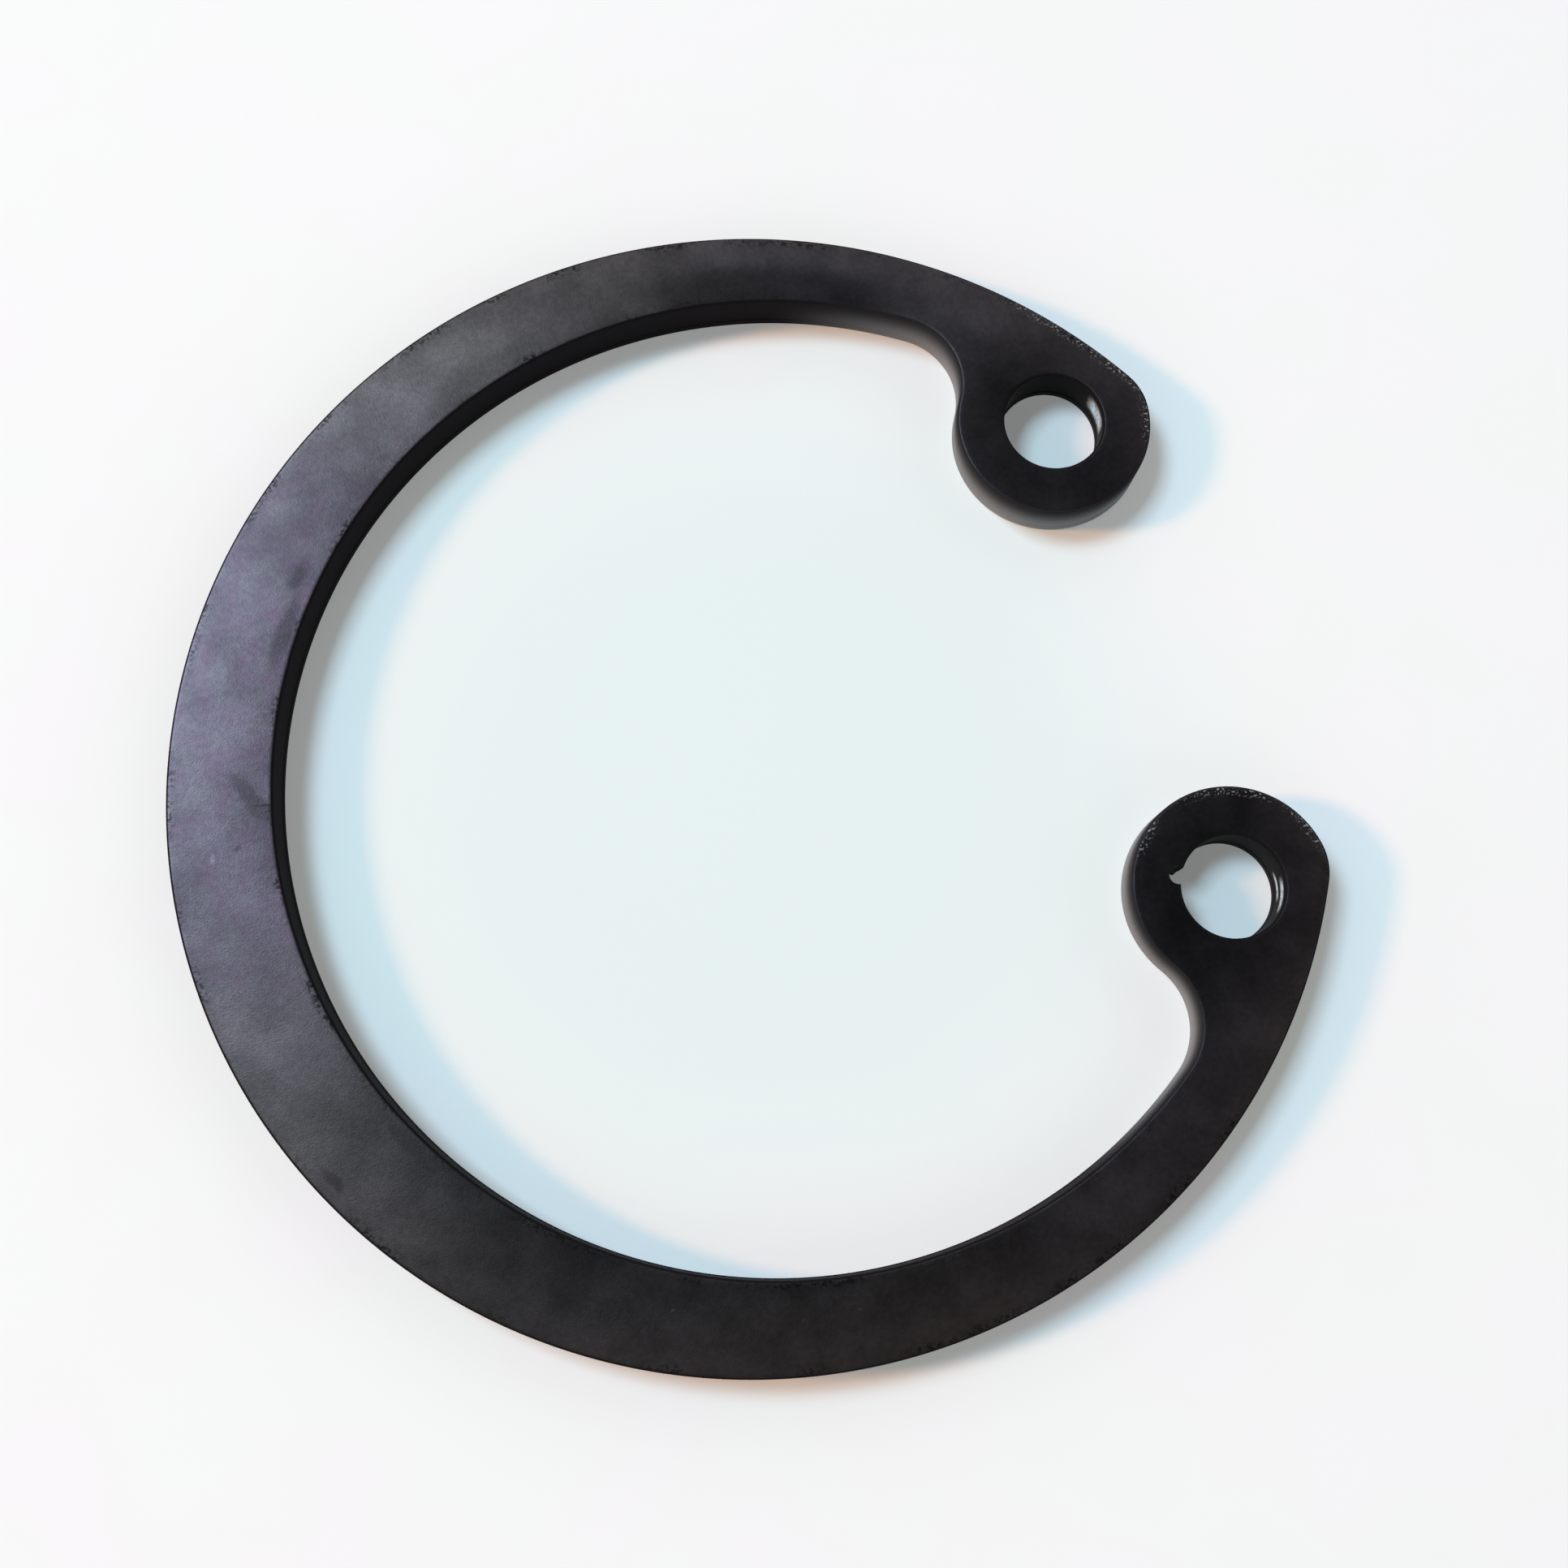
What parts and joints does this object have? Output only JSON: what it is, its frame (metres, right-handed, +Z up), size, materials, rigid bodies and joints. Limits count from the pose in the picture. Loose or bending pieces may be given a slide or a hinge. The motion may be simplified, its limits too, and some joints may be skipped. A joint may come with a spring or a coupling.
{
  "type": "piston pin circlip",
  "caption": "Flat internal spring retaining ring, an eccentric bow of constant thickness that tapers to two inward lugs with plier holes either side of a gap.",
  "frame": {"origin": "centre of the outer rim circle, on the underside", "axes": "+Z up through the thickness, towards the face with the rounded punched edge; +X towards the gap, halfway between the two lugs; +Y towards the lug without the nick"},
  "size_m": [0.0254, 0.0268, 0.0012],
  "materials": {
    "phosphated_spring_steel": "black phosphated and oiled, satin"
  },
  "bodies": {
    "root": {"circlip": "phosphated_spring_steel"}
  },
  "joints": []
}
